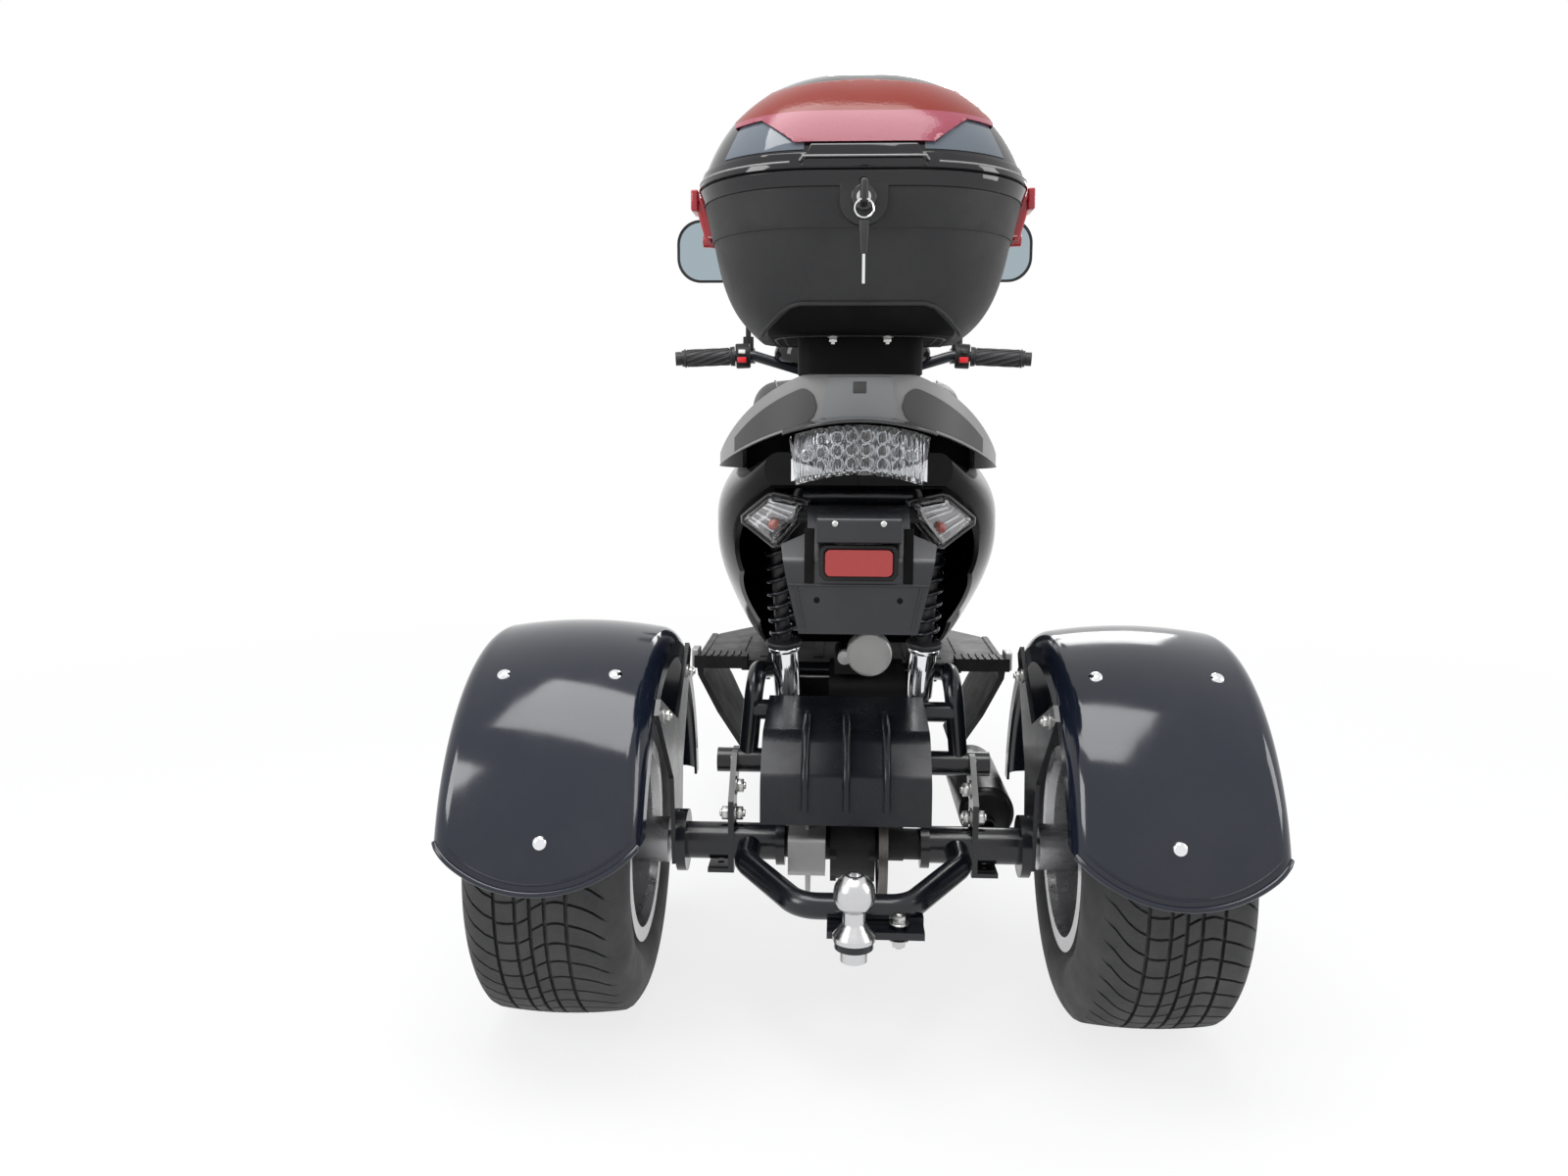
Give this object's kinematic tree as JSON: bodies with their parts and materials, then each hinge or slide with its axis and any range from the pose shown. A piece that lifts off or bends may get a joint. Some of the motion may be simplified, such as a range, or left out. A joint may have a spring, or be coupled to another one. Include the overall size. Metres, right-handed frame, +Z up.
{
  "type": "motorized trike",
  "caption": "Scooter-type motorized trike with a driven rear axle, wide low tyres under round fenders, stepped seat, lidded top case and a tow ball.",
  "frame": {"origin": "middle of the bounding box's bottom face, on the ground", "axes": "+Y towards the front wheel, +X to the rider's right, +Z up"},
  "size_m": [0.979, 1.8811, 1.2119],
  "materials": {
    "black_steel": "satin black paint",
    "black_shell": "gloss black moulding",
    "dark_shell": "textured dark grey plastic",
    "fender_black": "satin gloss black",
    "silver_trim": "satin silver grey",
    "tyre": "rubber",
    "rim": "machined",
    "chrome": "polished",
    "steel": "brushed",
    "cast": "cast",
    "rubber": "moulded",
    "seat_cover": "stretched cover",
    "clear_lens": "clear",
    "red_lens": "moulded lens",
    "mirror": "mirror"
  },
  "bodies": {
    "chassis": {"main_frame": "black_steel", "axle_carrier": "black_steel", "hitch_bar": "black_steel", "tow_ball": "chrome", "final_drive": "black_steel", "drive_chain": "steel", "rear_brake": "steel", "engine": "cast", "belt_case": "cast", "muffler": "black_steel", "engine_guard": "black_steel", "shock_bodies": "chrome", "shock_springs": "black_steel", "fender_left": "fender_black", "fender_right": "fender_black", "floor_board": "dark_shell", "floor_skirts": "dark_shell", "footrests": "dark_shell", "leg_shield": "dark_shell", "front_apron": "black_shell", "headlamp": "clear_lens", "front_signals": "clear_lens", "side_panel_left": "black_shell", "side_panel_right": "black_shell", "storage_bin": "dark_shell", "grab_rail": "silver_trim", "tail_lamp": "clear_lens", "rear_signals": "clear_lens", "plate_bracket": "dark_shell", "rear_reflector": "red_lens", "case_rack": "black_steel", "case_base": "dark_shell", "case_latches": "red_lens", "case_lock": "chrome"},
    "steering": {"fork": "black_steel", "front_fender": "black_shell", "handlebar": "black_steel", "grips": "rubber", "hand_controls": "dark_shell", "bar_cover": "black_shell", "mirrors": "black_shell", "mirror_glass": "mirror"},
    "front_wheel": {"front_tyre": "tyre", "front_rim": "rim", "front_disc": "steel"},
    "rear_wheel_left": {"rear_tyre_left": "tyre", "rear_rim_left": "rim"},
    "rear_wheel_right": {"rear_tyre_right": "tyre", "rear_rim_right": "rim"},
    "seat": {"seat": "seat_cover"},
    "case_lid": {"case_lid": "black_shell", "case_lens": "red_lens"}
  },
  "joints": [
    {"name": "steering", "type": "hinge", "parent": "chassis", "child": "steering", "pos_m": [0, 0.65936, 0.2365], "axis": [0, -0.4384, 0.8988], "range_deg": [-38, 38]},
    {"name": "front_wheel_spin", "type": "hinge", "parent": "steering", "child": "front_wheel", "pos_m": [0, 0.69941, 0.2365], "axis": [1, 0, 0], "continuous": true},
    {"name": "rear_wheel_left_spin", "type": "hinge", "parent": "chassis", "child": "rear_wheel_left", "pos_m": [-0.3795, -0.60059, 0.2295], "axis": [1, 0, 0], "continuous": true},
    {"name": "rear_wheel_right_spin", "type": "hinge", "parent": "chassis", "child": "rear_wheel_right", "pos_m": [0.3795, -0.60059, 0.2295], "axis": [1, 0, 0], "continuous": true},
    {"name": "seat_hinge", "type": "hinge", "parent": "chassis", "child": "seat", "pos_m": [0, -0.03459, 0.69], "axis": [-1, 0, 0], "range_deg": [0, 70]},
    {"name": "lid_hinge", "type": "hinge", "parent": "chassis", "child": "case_lid", "pos_m": [0, -0.52159, 1.052], "axis": [-1, 0, 0], "range_deg": [0, 85]}
  ]
}
